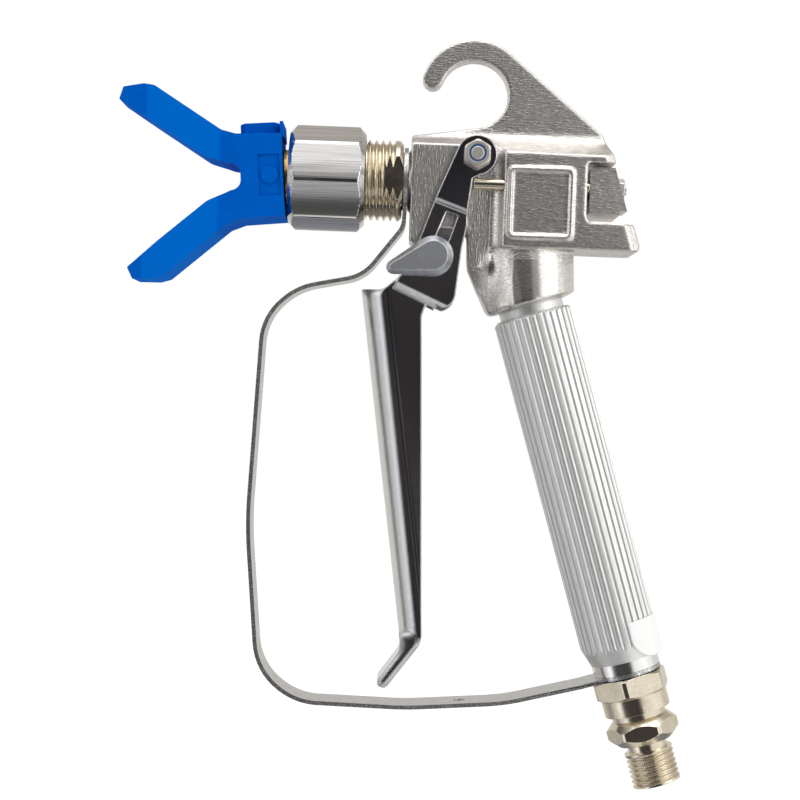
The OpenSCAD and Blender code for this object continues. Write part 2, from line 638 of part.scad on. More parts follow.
ring_station = ring_start + face_gap + strip_thickness / 2;
ring_centre = [handle_top[0], handle_top[2]] + ring_station * [sin(lean), -cos(lean)];
strip_foot = ring_centre[1];
strip_path = bent([[strip_front + strip_thickness / 2, -6, 0], [-1.3, -13, 6], [-11.8, -26.9, 12], [-29.6, -30.7, 18],
    [-38.8, -39, 16], [-41, strip_foot * 0.72, 120], [-36.9, strip_foot - 3.1, 17], [-25.6, strip_foot - 11.1, 18],
    [4, strip_foot - 11.6, 90], [ring_centre[0] - 34.3, strip_foot - 9.4, 60],
    concat(ring_centre - 14 * [cos(lean), sin(lean)], 40), ring_centre]);

module guard_strip() seat() color("silver") difference() {
    union() {
        side(strip_outline(strip_path, strip_thickness), -strip_width / 2, strip_width / 2);
        on_axis(strip_front) cylinder(r = 9.3, h = strip_thickness);
        on_handle(ring_station + strip_thickness / 2) cylinder(r = 9.3, h = strip_thickness);
    }
    on_axis(-6) cylinder(d = nozzle_thread + 0.2, h = 12);
    on_handle(ring_station + 4) cylinder(d = 14.2, h = 12);
    translate([19, 0, strip_foot - 17]) cylinder(d = 3.2, h = 20);
}

// ---------- handle ----------

module handle_tube() seat() color("whitesmoke") difference() {
    union() {
        on_handle(handle_length) intersection() {
            linear_extrude(handle_length) difference() {
                circle(d = handle_diameter);
                for (i = [0:flutes - 1]) rotate(i * 360 / flutes) translate([handle_diameter / 2 + 0.35, 0]) circle(r = 0.8, $fn = 16);
            }
            rotate_extrude() polygon([[0, 0], [9.3, 0], [handle_diameter / 2, 5.1], [handle_diameter / 2, handle_length - 1],
                [handle_diameter / 2 - 1, handle_length], [0, handle_length]]);
        }
        on_handle(ring_start) cylinder(d = 18.6, h = collar_length + past);
        on_handle(past) cylinder(d = handle_spigot - 2 * seated, h = spigot_length + past);
    }
    on_handle(ring_start + past) cylinder(d = 14, h = 12);
    on_handle(ring_start - 8) cylinder(d = handle_bore, h = ring_start - 8);
    on_handle(past) cylinder(d = 11, h = 20);
}

module handle_gasket() seat() color("white") on_handle(-spigot_length - face_gap) tube(handle_spigot - 0.4, 11, gasket_room - 2 * face_gap);

module filter_core() seat() color("black") on_handle(0) difference() {
    union() {
        translate([0, 0, -4]) cylinder(d = handle_bore - 0.6, h = 3.9);
        translate([0, 0, 2 - filter_length]) cylinder(d = filter_diameter - 1.4, h = filter_length - 5);
        translate([0, 0, -filter_length]) cylinder(d = filter_diameter, h = 2);
    }
    translate([0, 0, 3 - filter_length]) cylinder(d = filter_diameter - 3.4, h = filter_length + 4);
    for (a = [0, 90]) rotate(a) for (i = [0:3]) translate([-filter_diameter, -1.4, 6 - filter_length + i * window_pitch])
        cube([2 * filter_diameter, 2.8, window_pitch - 4]);
}

module filter_mesh() seat() color("khaki") on_handle(filter_length - 2 - face_gap)
    tube(filter_diameter, filter_diameter - 1.4 + 2 * running, filter_length - 6 - 2 * face_gap);

module filter_spring() seat() color("silver") on_handle(housing_spigot_top - face_gap) coil(4.2, 1, housing_spigot_top - filter_length - 2 * face_gap, 3);

// ---------- hose swivel ----------

module swivel_housing() seat() color("burlywood") difference() {
    union() {
        on_handle(hex_start + past) cylinder(d = 14 - 2 * seated, h = hex_start + past - housing_spigot_top);
        on_handle(hex_start + housing_hex_height) rotate(15) hex_prism(housing_hex, housing_hex_height);
        on_handle(housing_foot) cylinder(d = housing_diameter, h = housing_foot - hex_start - housing_hex_height + past);
    }
    on_handle(housing_foot + past) cylinder(d = 10 + 2 * running, h = 12);
    on_handle(housing_foot - 1.5) cylinder(d = 12.4, h = 8);
    on_handle(housing_foot) cylinder(d = 8, h = 60);
}

module swivel_stem() seat() color("burlywood") difference() {
    union() {
        on_handle(housing_foot - 1.5 - face_gap) cylinder(d = 12.4 - 2 * running, h = 3.6);
        on_handle(stem_face + past) cylinder(d = 10, h = 3 + past);
        on_handle(stem_hex_start + past) cylinder(d = 15, h = stem_hex_start - stem_face + past);
        on_handle(stem_neck_start) rotate(51) hex_prism(stem_hex, stem_hex_height, 0.84, 45);
        on_handle(thread_start + past) cylinder(d = hose_thread - 2.4, h = 5);
        on_handle(hose_end) cylinder(d = hose_thread, h = hose_thread_length);
    }
    on_handle(hose_end + past) cylinder(d = swivel_bore, h = 60);
    on_handle(housing_foot - 3) tube(16, 12.4 - 2.4, 1.6);
}

module stem_o_ring() seat() color("black") on_handle(housing_foot - 3.1) rotate_extrude() translate([5.55, 0.7]) circle(r = 0.5, $fn = 24);

gun_body();
diffuser();
carbide_seat();
seat_gasket();
packing_seal();
packing_gland();
spring_plug();
return_spring();
needle();
actuator_plate();
needle_locknut();
actuator_pins();
trigger();
pivot_bolt();
pivot_nut();
nylon_ring();
trigger_lock();
lock_clip();
guard_strip();
handle_tube();
handle_gasket();
filter_core();
filter_mesh();
filter_spring();
swivel_housing();
swivel_stem();
stem_o_ring();
retaining_nut();
tip_guard();
guard_insert();
tip_seal();
tip_barrel();
tip_orifice();
tip_flag();
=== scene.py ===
# Airless paint spray gun, dressed for a studio picture.
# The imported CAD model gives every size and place; this file gives the surfaces, the broken
# edges, the threads and the small details that a plain solid leaves out.

import json
import math

import bmesh
import bpy
from mathutils import Matrix, Vector


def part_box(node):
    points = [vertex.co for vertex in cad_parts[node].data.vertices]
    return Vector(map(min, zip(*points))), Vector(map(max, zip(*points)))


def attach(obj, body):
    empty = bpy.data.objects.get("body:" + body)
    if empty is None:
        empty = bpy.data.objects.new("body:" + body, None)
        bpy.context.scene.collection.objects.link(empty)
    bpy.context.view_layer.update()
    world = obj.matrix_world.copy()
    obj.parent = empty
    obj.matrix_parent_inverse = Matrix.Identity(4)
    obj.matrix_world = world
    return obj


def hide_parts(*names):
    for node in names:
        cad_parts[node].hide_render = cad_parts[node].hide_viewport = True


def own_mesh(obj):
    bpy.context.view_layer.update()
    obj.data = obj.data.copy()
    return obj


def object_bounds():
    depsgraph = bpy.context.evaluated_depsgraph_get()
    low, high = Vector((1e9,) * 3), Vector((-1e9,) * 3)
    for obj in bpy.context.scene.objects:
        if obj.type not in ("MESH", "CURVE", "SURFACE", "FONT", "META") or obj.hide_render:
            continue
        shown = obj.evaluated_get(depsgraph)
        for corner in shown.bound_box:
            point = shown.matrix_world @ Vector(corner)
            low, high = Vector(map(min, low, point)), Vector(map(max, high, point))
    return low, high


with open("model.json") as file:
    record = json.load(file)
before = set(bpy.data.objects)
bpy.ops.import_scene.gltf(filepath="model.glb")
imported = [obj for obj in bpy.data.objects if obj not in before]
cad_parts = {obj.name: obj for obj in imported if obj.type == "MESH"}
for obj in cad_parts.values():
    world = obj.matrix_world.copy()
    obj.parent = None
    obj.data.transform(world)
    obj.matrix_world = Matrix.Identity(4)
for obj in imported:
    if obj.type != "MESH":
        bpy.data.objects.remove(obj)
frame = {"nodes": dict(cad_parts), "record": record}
cad_low, cad_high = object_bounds()
scene = bpy.context.scene
scene.view_settings.view_transform = "Standard"

# ---------------------------------------------------------------- camera
# Half a metre from the side of the gun, square to it, and rolled a little so that the
# nozzle axis falls towards the right.
view_distance = 0.52
view_width = 0.2216
view_roll = math.radians(2.2)
handle_lean = math.radians(17.1)

sensor_width = 36
view_middle = Vector((-0.0751, 0, 0.1028))

camera = bpy.data.objects.new("camera", bpy.data.cameras.new("camera"))
camera.data.sensor_width = sensor_width
camera.data.lens = sensor_width * view_distance / view_width
camera.location = (view_middle.x, -view_distance, view_middle.z)
camera.rotation_euler = (math.radians(90), -view_roll, 0)
scene.collection.objects.link(camera)
scene.camera = camera

# ---------------------------------------------------------------- world
# A pale room, brighter on the right than on the left, with a dark opening round the camera
# that bright metal mirrors in its flat faces. Straight ahead of the lens it shows as white.
world = bpy.data.worlds.new("pale room")
world.use_nodes = True
scene.world = world
tree = world.node_tree
tree.nodes.clear()


def joined(tree, kind, inputs=(), **settings):
    """Adds a node, sets its properties, and sets or links its inputs by name or number."""
    node = tree.nodes.new(kind)
    for name, value in settings.items():
        setattr(node, name, value)
    for key, value in dict(inputs).items():
        socket = node.inputs[key]
        if isinstance(value, bpy.types.NodeSocket):
            tree.links.new(value, socket)
        else:
            socket.default_value = value
    return node


def ramp(tree, value, start, end, low=0.0, high=1.0):
    """A value's smooth rise from low to high between start and end."""
    return joined(tree, "ShaderNodeMapRange", {
        "Value": value, "From Min": start, "From Max": end, "To Min": low, "To Max": high},
        interpolation_type="SMOOTHSTEP").outputs["Result"]


def blended(tree, factor, first, second):
    """The first colour turning into the second."""
    return joined(tree, "ShaderNodeMixRGB", {
        "Fac": factor, "Color1": first, "Color2": second}).outputs["Color"]


def both(tree, first, second):
    """The product of two factors."""
    return joined(tree, "ShaderNodeMath", {0: first, 1: second}, operation="MULTIPLY").outputs[0]


def feeding(socket):
    """The output that is linked to an input."""
    return socket.links[0].from_socket


left_wall = (0.70, 0.69, 0.68, 1)
left_light = (1.25, 1.27, 1.32, 1)
right_wall = (1.05, 1.05, 1.04, 1)
back_wall = (0.78, 0.76, 0.72, 1)
back_high = (0.52, 0.49, 0.45, 1)
back_low = (0.25, 0.26, 0.29, 1)
ceiling = (1.08, 1.08, 1.07, 1)
table = (0.90, 0.88, 0.84, 1)
room_dark = (0.012, 0.012, 0.016, 1)
room_dim = (0.13, 0.115, 0.11, 1)
low_strip = (0.50, 0.50, 0.52, 1)
apron = (0.07, 0.07, 0.07, 1)
heading = joined(tree, "ShaderNodeSeparateXYZ", {
    "Vector": joined(tree, "ShaderNodeTexCoord").outputs["Generated"]}).outputs
far = ramp(tree, heading["Y"], 0.0, 0.3)
near = ramp(tree, heading["Y"], 0.0, -0.15)
walls = blended(tree, ramp(tree, heading["X"], -0.7, 0.75), left_wall, right_wall)
strip_of_light = both(tree, ramp(tree, heading["X"], -0.88, -0.82),
                      ramp(tree, heading["X"], -0.60, -0.66))
walls = blended(tree, both(tree, near, strip_of_light), walls, left_light)
walls = blended(tree, far, walls, back_wall)
walls = blended(tree, both(tree, far, ramp(tree, heading["Z"], 0.3, 0.5)), walls, back_high)
walls = blended(tree, both(tree, far, ramp(tree, heading["Z"], -0.3, -0.5)), walls, back_low)
overhead = both(tree, ramp(tree, heading["Y"], 0.2, 0.05), ramp(tree, heading["Z"], 0.4, 0.5))
walls = blended(tree, overhead, walls, ceiling)
walls = blended(tree, ramp(tree, heading["Z"], 0.93, 0.98), walls, ceiling)
# the near wall is a dim room round the camera, paler under it, and dark again where it meets
# the table
room = joined(tree, "ShaderNodeTexNoise", {
    "Vector": joined(tree, "ShaderNodeTexCoord").outputs["Generated"],
    "Scale": 9.0, "Detail": 4.0, "Roughness": 0.65})
opening = blended(tree, ramp(tree, room.outputs["Fac"], 0.42, 0.68), room_dark, room_dim)
near_wall = blended(tree, ramp(tree, heading["Z"], -0.46, -0.52), opening, low_strip)
near_wall = blended(tree, ramp(tree, heading["Z"], -0.78, -0.83), near_wall, apron)
across = both(tree, ramp(tree, heading["X"], -0.78, -0.66), ramp(tree, heading["X"], 0.36, 0.22))
upward = both(tree, ramp(tree, heading["Z"], -0.96, -0.91), ramp(tree, heading["Z"], 0.56, 0.40))
window = both(tree, both(tree, across, upward), near)
walls = blended(tree, ramp(tree, heading["Z"], -0.86, -0.94), walls, table)
light = blended(tree, window, walls, near_wall)

studio = joined(tree, "ShaderNodeBackground", {"Color": light, "Strength": 1.0})
white = joined(tree, "ShaderNodeBackground", {"Color": (1, 1, 1, 1), "Strength": 1.0})
seen = joined(tree, "ShaderNodeLightPath")
joined(tree, "ShaderNodeOutputWorld", {"Surface": joined(tree, "ShaderNodeMixShader", {
    0: seen.outputs["Is Camera Ray"], 1: studio.outputs[0], 2: white.outputs[0]}).outputs[0]})

# ---------------------------------------------------------------- lamps
# Large soft panels: one high on the left, one on the right, one overhead.
gun_middle = Vector((-0.075, 0, 0.11))
for name, place, width, power in [
        ("lamp left", (-0.62, -0.42, 0.52), 0.45, 0.5),
        ("lamp right", (0.62, -0.5, 0.42), 0.5, 1.2),
        ("lamp top", (-0.05, -0.2, 0.85), 0.6, 1.5)]:
    lamp = bpy.data.objects.new(name, bpy.data.lights.new(name, "AREA"))
    lamp.data.shape = "SQUARE"
    lamp.data.size = width
    lamp.data.energy = power
    lamp.location = place
    lamp.rotation_euler = (gun_middle - Vector(place)).to_track_quat("-Z", "Y").to_euler()
    scene.collection.objects.link(lamp)

# ---------------------------------------------------------------- floor
# A plain pale table just under the hose thread. It reads as white, with the shadow kept, and
# bright metal mirrors the room through it.


def new_piece(name, shape):
    """A new object in the scene with a bmesh's shape, which is freed."""
    piece = bpy.data.objects.new(name, bpy.data.meshes.new(name))
    shape.to_mesh(piece.data)
    shape.free()
    scene.collection.objects.link(piece)
    return piece


floor_height = cad_low.z - 0.0005
shape = bmesh.new()
bmesh.ops.create_grid(shape, x_segments=1, y_segments=1, size=1.5,
                      matrix=Matrix.Translation((0, 0, floor_height)))
floor = new_piece("floor", shape)

paper = bpy.data.materials.new("floor paper")
paper.use_nodes = True
tree = paper.node_tree
tree.nodes.clear()
seen = joined(tree, "ShaderNodeLightPath")
pale = joined(tree, "ShaderNodeBsdfDiffuse", {"Color": (0.86, 0.86, 0.85, 1)})
white = joined(tree, "ShaderNodeEmission", {"Color": (1, 1, 1, 1), "Strength": 1.13})
clear = joined(tree, "ShaderNodeBsdfTransparent")
paper_seen = joined(tree, "ShaderNodeMixShader", {
    0: both(tree, seen.outputs["Is Camera Ray"], 0.85), 1: pale.outputs[0], 2: white.outputs[0]})
mirrored = joined(tree, "ShaderNodeMath", {
    0: seen.outputs["Is Glossy Ray"], 1: seen.outputs["Is Transmission Ray"]}, operation="MAXIMUM")
joined(tree, "ShaderNodeOutputMaterial", {"Surface": joined(tree, "ShaderNodeMixShader", {
    0: mirrored.outputs[0], 1: paper_seen.outputs[0], 2: clear.outputs[0]}).outputs[0]})
floor.data.materials.append(paper)

# ---------------------------------------------------------------- finishes
# Every finish is a Principled shader with a grain on Object coordinates. Brushed and turned
# metal stretches the grain, a casting mottles it, and plastic keeps it faint.


def effect_group(name, inputs, outputs):
    """A shader node group with named inputs and outputs."""
    group = bpy.data.node_groups.new(name, "ShaderNodeTree")
    for kind, label, value in inputs:
        group.interface.new_socket(label, in_out="INPUT", socket_type=kind).default_value = value
    for kind, label in outputs:
        group.interface.new_socket(label, in_out="OUTPUT", socket_type=kind)
    return group, joined(group, "NodeGroupInput"), joined(group, "NodeGroupOutput")


grain, given, result = effect_group("surface grain", [
    ("NodeSocketVector", "Vector", (0, 0, 0)), ("NodeSocketColor", "Colour", (0.8, 0.8, 0.8, 1)),
    ("NodeSocketColor", "Shade", (0.4, 0.4, 0.4, 1)), ("NodeSocketFloat", "Fine", 1000.0),
    ("NodeSocketFloat", "Broad", 100.0), ("NodeSocketFloat", "Share", 0.5),
    ("NodeSocketFloat", "Smooth", 0.2), ("NodeSocketFloat", "Rough", 0.5)], [
    ("NodeSocketColor", "Colour"), ("NodeSocketFloat", "Roughness"), ("NodeSocketFloat", "Height")])
fine = joined(grain, "ShaderNodeTexNoise", {
    "Vector": given.outputs["Vector"], "Scale": given.outputs["Fine"],
    "Detail": 3.0, "Roughness": 0.6})
broad = joined(grain, "ShaderNodeTexNoise", {
    "Vector": given.outputs["Vector"], "Scale": given.outputs["Broad"],
    "Detail": 4.0, "Roughness": 0.55})
mixed = joined(grain, "ShaderNodeMix", {
    "Factor": given.outputs["Share"], 2: broad.outputs["Fac"], 3: fine.outputs["Fac"]},
    data_type="FLOAT")
spread = joined(grain, "ShaderNodeMapRange", {
    "Value": mixed.outputs[0], "From Min": 0.3, "From Max": 0.7})
tone = joined(grain, "ShaderNodeMixRGB", {
    "Fac": spread.outputs["Result"],
    "Color1": given.outputs["Shade"], "Color2": given.outputs["Colour"]})
rough = joined(grain, "ShaderNodeMapRange", {
    "Value": mixed.outputs[0], "From Min": 0.3, "From Max": 0.7,
    "To Min": given.outputs["Rough"], "To Max": given.outputs["Smooth"]})
grain.links.new(tone.outputs["Color"], result.inputs["Colour"])
grain.links.new(rough.outputs["Result"], result.inputs["Roughness"])
grain.links.new(mixed.outputs[0], result.inputs["Height"])


def finish(name, colour, shade, fine, broad, smooth, rough, depth, metallic=1.0, share=0.5,
           stretch=(1, 1, 1), turn=(0, 0, 0), edge=0.0, **sockets):
    """A material with the surface grain in its colour, roughness and bump, and worn round edges."""
    made = bpy.data.materials.new(name)
    made.use_nodes = True
    tree = made.node_tree
    shader = tree.nodes["Principled BSDF"]
    shader.inputs["Metallic"].default_value = metallic
    for label, value in sockets.items():
        shader.inputs[label.replace("_", " ")].default_value = value
    placed = joined(tree, "ShaderNodeMapping", {
        "Vector": joined(tree, "ShaderNodeTexCoord").outputs["Object"],
        "Rotation": [math.radians(a) for a in turn], "Scale": stretch})
    surface = tree.nodes.new("ShaderNodeGroup")
    surface.node_tree = grain
    tree.links.new(placed.outputs["Vector"], surface.inputs["Vector"])
    for label, value in {"Colour": (*colour, 1), "Shade": (*shade, 1), "Fine": fine, "Broad": broad,
                         "Share": share, "Smooth": smooth, "Rough": rough}.items():
        surface.inputs[label].default_value = value
    bump = joined(tree, "ShaderNodeBump", {
        "Strength": 1.0, "Distance": depth, "Height": surface.outputs["Height"]})
    if edge:
        worn = joined(tree, "ShaderNodeBevel", {"Radius": edge}, samples=6)
        tree.links.new(worn.outputs["Normal"], bump.inputs["Normal"])
    tree.links.new(surface.outputs["Colour"], shader.inputs["Base Color"])
    tree.links.new(surface.outputs["Roughness"], shader.inputs["Roughness"])
    tree.links.new(bump.outputs["Normal"], shader.inputs["Normal"])
    return made


def shaded_smooth(piece):
    """Shades every face of a piece smooth."""
    for face in piece.data.polygons:
        face.use_smooth = True
    return piece


def cut_thread(piece, origin, axis, radius, depth, pitch, start, end):
    """Cuts a V groove that winds round an axis, from start to end along it."""
    steps = 72
    turns = (end - start) / pitch
    across = axis.orthogonal().normalized()
    shape = bmesh.new()
    section = [(-0.47 * pitch, radius + 0.05 * depth), (0.47 * pitch, radius + 0.05 * depth),
               (0.07 * pitch, radius - depth), (-0.07 * pitch, radius - depth)]
    shape.faces.new([shape.verts.new(origin + axis * (start + length) + across * reach)
                     for length, reach in section])
    bmesh.ops.spin(shape, geom=shape.faces[:], cent=origin, axis=axis, dvec=axis * (pitch / steps),
                   angle=2 * math.pi * turns, steps=round(turns * steps), use_duplicate=False)
    bmesh.ops.recalc_face_normals(shape, faces=shape.faces)
    groove = new_piece("groove", shape)
    cut = piece.modifiers.new("thread", "BOOLEAN")
    cut.operation = "DIFFERENCE"
    cut.solver = "EXACT"
    cut.object = groove
    settled(piece)
    bpy.data.objects.remove(groove)


def carried_by(node):
    """The body that a CAD node moves with."""
    bodies = frame["record"]["behaviour"]["bodies"]
    return next(body for body, members in bodies.items() if node in members)


def merged_copy(node, name):
    """A new object with a CAD node's mesh, its loose triangles merged and its flats made whole."""
    piece = bpy.data.objects.new(name, frame["nodes"][node].data.copy())
    scene.collection.objects.link(piece)
    shape = bmesh.new()
    shape.from_mesh(piece.data)
    bmesh.ops.remove_doubles(shape, verts=shape.verts, dist=2e-6)
    bmesh.ops.dissolve_limit(shape, angle_limit=math.radians(0.8),
                             verts=shape.verts, edges=shape.edges)
    shape.to_mesh(piece.data)
    shape.free()
    return piece


def settled(piece):
    """Turns the piece's modifiers into its mesh."""
    bpy.context.view_layer.update()
    solved = piece.evaluated_get(bpy.context.evaluated_depsgraph_get())
    mesh = bpy.data.meshes.new_from_object(solved)
    piece.modifiers.clear()
    piece.data = mesh


def broken_edges(piece, width, segments=2, sharp=32):
    """Breaks the edges of a machined or pressed piece, and shades it smooth between them."""
    bevel = piece.modifiers.new("broken edges", "BEVEL")
    bevel.width = width
    bevel.segments = segments
    bevel.limit_method = "ANGLE"
    bevel.angle_limit = math.radians(sharp)
    settled(piece)
    shaded_smooth(piece)
    piece.data.set_sharp_from_angle(angle=math.radians(38))
    weighted = piece.modifiers.new("even shading", "WEIGHTED_NORMAL")
    weighted.keep_sharp = True
    return piece


def stands_for(piece, material, slot, *nodes):
    """Gives a finished piece its material, and the body of the nodes it stands for. The slot is not
    used.
    """
    piece.data.materials.clear()
    piece.data.materials.append(material)
    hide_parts(*nodes)
    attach(piece, carried_by(nodes[0]))


def kept(node, material):
    """Gives a CAD node that stays a material of its own."""
    piece = frame["nodes"][node]
    piece.data.materials.clear()
    piece.data.materials.append(material)


# ---------------------------------------------------------------- casting
# The body is an aluminium casting, tumbled bright. Its edges and its fillets are soft, so the
# solid is remeshed and relaxed before it takes its mottled skin.
cast_alloy = finish("tumbled casting", (0.95, 0.92, 0.89), (0.50, 0.48, 0.45), 2600, 600,
                    0.23, 0.38, 1.4e-4, share=0.85, stretch=(0.16, 1, 1))
# the recess for the trigger's arms is linished up and down and the rest along the gun, and the
# neck is left smoother
tree = cast_alloy.node_tree
casting_low, casting_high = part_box("gun_body")
recess_edge = casting_low.x + 0.0226
hook_foot = casting_high.z - 0.0245
neck_top = casting_low.z + 0.0165
along = tree.nodes["Mapping"]
placed = feeding(along.inputs["Vector"])
upright = joined(tree, "ShaderNodeMapping", {"Vector": placed, "Scale": (1, 1, 0.2)})
place = joined(tree, "ShaderNodeSeparateXYZ", {"Vector": placed})
in_front = ramp(tree, place.outputs["X"], recess_edge + 0.0002, recess_edge)
in_recess = both(tree, in_front, ramp(tree, place.outputs["Z"], hook_foot + 0.0002, hook_foot))
direction = joined(tree, "ShaderNodeMix", {
    "Factor": in_recess, 4: along.outputs["Vector"], 5: upright.outputs["Vector"]},
    data_type="VECTOR")
surface = next(node for node in tree.nodes if node.type == "GROUP")
tree.links.new(direction.outputs[1], surface.inputs["Vector"])
on_neck = both(tree, ramp(tree, place.outputs["Z"], neck_top, neck_top - 0.001),
               ramp(tree, place.outputs["X"], recess_edge - 0.0005, recess_edge + 0.0005))
tree.links.new(ramp(tree, on_neck, 0.0, 1.0, 1.0, 0.25), tree.nodes["Bump"].inputs["Strength"])
polish = ramp(tree, on_neck, 0.0, 1.0, 1.0, 0.92)
tree.links.new(both(tree, polish, surface.outputs["Roughness"]),
               tree.nodes["Principled BSDF"].inputs["Roughness"])


def eased(shape, verts, rounds):
    """Relaxes some of a bmesh's vertices towards their neighbours, round after round."""
    for _ in range(rounds):
        bmesh.ops.smooth_vert(shape, verts=verts, factor=0.5,
                              use_axis_x=True, use_axis_y=True, use_axis_z=True)


body = merged_copy("gun_body", "body_casting")
remesh = body.modifiers.new("casting skin", "REMESH")
remesh.mode = "VOXEL"
remesh.voxel_size = 0.00034
relax = body.modifiers.new("soft edges", "SMOOTH")
relax.factor = 0.5
relax.iterations = 9
thin = body.modifiers.new("lighter mesh", "DECIMATE")
thin.ratio = 0.8
settled(body)
# the fold between the rib and the neck is filled to a soft hollow
fold_place = recess_edge + 0.0022
shape = bmesh.new()
shape.from_mesh(body.data)
fold_half = 0.0045
flank_foot = neck_top + 0.0015
fold = [vert for vert in shape.verts
        if vert.co.z < flank_foot and abs(vert.co.x - fold_place) < fold_half]
eased(shape, fold, 110)
# the raised border of the blank panel is cast soft and low
border_front, border_rear = recess_edge + 0.0035, recess_edge + 0.0226
border = [vert for vert in shape.verts
          if vert.co.y < casting_low.y + 0.0009 and border_front < vert.co.x < border_rear
          and vert.co.z > flank_foot]
eased(shape, border, 5)
border_foot = casting_low.y + 0.0005
for vert in border:
    if vert.co.y < border_foot:
        vert.co.y = border_foot + 0.5 * (vert.co.y - border_foot)
shape.to_mesh(body.data)
shape.free()
shaded_smooth(body)
stands_for(body, cast_alloy, "cast_alloy", "gun_body")

# ---------------------------------------------------------------- valve
# Inside the casting: a ball-ended needle on its carbide seat, the packing that seals the rod,
# and the spring that closes it. They are turned, ground or moulded pieces of their own.
bright_steel = finish("bright steel", (0.84, 0.80, 0.74), (0.66, 0.63, 0.58), 1500, 300,
                      0.34, 0.5, 1.5e-5)
ground_carbide = finish("ground carbide", (0.30, 0.31, 0.33), (0.2, 0.2, 0.22), 2200, 300,
                        0.15, 0.3, 3e-6)
turned_brass = finish("turned brass", (0.78, 0.52, 0.2), (0.5, 0.3, 0.1), 1500, 300,
                      0.15, 0.35, 5e-6)
white_ptfe = finish("white ptfe", (0.86, 0.86, 0.84), (0.74, 0.74, 0.7), 900, 200,
                    0.4, 0.55, 6e-6, metallic=0.0)
kept("needle", bright_steel)
# the spring, which shortens as the needle comes back, gets a mesh of its own
spring = shaded_smooth(merged_copy("return_spring", "needle_spring"))
stands_for(spring, bright_steel, "steel", "return_spring")
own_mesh(spring)
kept("carbide_seat", ground_carbide)
kept("seat_gasket", white_ptfe)
kept("packing_seal", white_ptfe)
kept("packing_gland", turned_brass)
kept("spring_plug", turned_brass)

# ---------------------------------------------------------------- actuator
# A small casting behind the body is drawn back by two nickelled pins, which the trigger's arms
# push, and a locknut holds it on the needle.
nickel = finish("nickel plate", (0.84, 0.77, 0.64), (0.60, 0.53, 0.41), 1700, 260,
                0.13, 0.28, 6e-6)
plate = broken_edges(merged_copy("actuator_plate", "actuator_yoke"), 0.0004)
stands_for(plate, cast_alloy, "cast_alloy", "actuator_plate")
locknut = broken_edges(merged_copy("needle_locknut", "locknut_on_needle"), 0.0002)
stands_for(locknut, bright_steel, "steel", "needle_locknut")
pins = broken_edges(merged_copy("actuator_pins", "push_pins"), 0.0002)
stands_for(pins, nickel, "nickel", "actuator_pins")

# ---------------------------------------------------------------- trigger
# A die-cast lever, polished and plated: two flat arms on the pivot bolt, drawn in at a shelf to
# a round-backed finger channel that ends in a toe.
arm_edge, channel_edge = 0.0007, 0.0030
chrome = finish("polished plating", (0.74, 0.74, 0.75), (0.66, 0.66, 0.67), 700, 120,
                0.07, 0.14, 9e-6, edge=arm_edge)
# the front of the finger channel and its toe are rounded off more than the arms
tree = chrome.node_tree
place = joined(tree, "ShaderNodeSeparateXYZ", {
    "Vector": feeding(tree.nodes["Mapping"].inputs["Vector"])})
channel_lean = 0.139
channel_top = Vector((-0.0865, 0, 0.1329))
behind = joined(tree, "ShaderNodeMath", {
    0: place.outputs["Z"], 1: channel_lean, 2: place.outputs["X"]},
    operation="MULTIPLY_ADD").outputs[0]
front_line = channel_top.x + channel_lean * channel_top.z
in_channel = both(tree, ramp(tree, behind, front_line + 0.0066, front_line + 0.0042),
                  ramp(tree, place.outputs["Z"], channel_top.z + 0.001, channel_top.z))
tree.links.new(ramp(tree, in_channel, 0.0, 1.0, arm_edge, channel_edge),
               tree.nodes["Bevel"].inputs["Radius"])
trigger = broken_edges(merged_copy("trigger", "finger_lever"), 0.0004, segments=3)
stands_for(trigger, chrome, "chrome_plate", "trigger")

zinc = finish("zinc casting", (0.72, 0.73, 0.76), (0.36, 0.38, 0.43), 1900, 420,
              0.34, 0.5, 4e-5, edge=0.0003)
lock = broken_edges(merged_copy("trigger_lock", "lock_lever"), 0.0003)
stands_for(lock, zinc, "zinc", "trigger_lock")
kept("lock_clip", bright_steel)

bolt = broken_edges(merged_copy("pivot_bolt", "pivot_screw"), 0.0002)
stands_for(bolt, bright_steel, "steel", "pivot_bolt")
nut = broken_edges(merged_copy("pivot_nut", "nyloc_nut"), 0.0002)
stands_for(nut, bright_steel, "steel", "pivot_nut")
blue_nylon = finish("blue nylon", (0.02, 0.11, 0.34), (0.01, 0.07, 0.24), 1500, 300,
                    0.3, 0.45, 4e-6, metallic=0.0)
ring = broken_edges(merged_copy("nylon_ring", "nyloc_insert"), 0.0001)
stands_for(ring, blue_nylon, "blue_nylon", "nylon_ring")

# ---------------------------------------------------------------- trigger guard
# A plated steel strip, clamped under the diffuser at one end and under the hose swivel at the
# other, with a small hole near its foot.
plated_strip = finish("plated strip", (0.52, 0.515, 0.51), (0.32, 0.32, 0.33), 2600, 500,
                      0.12, 0.3, 8e-6, share=0.7)
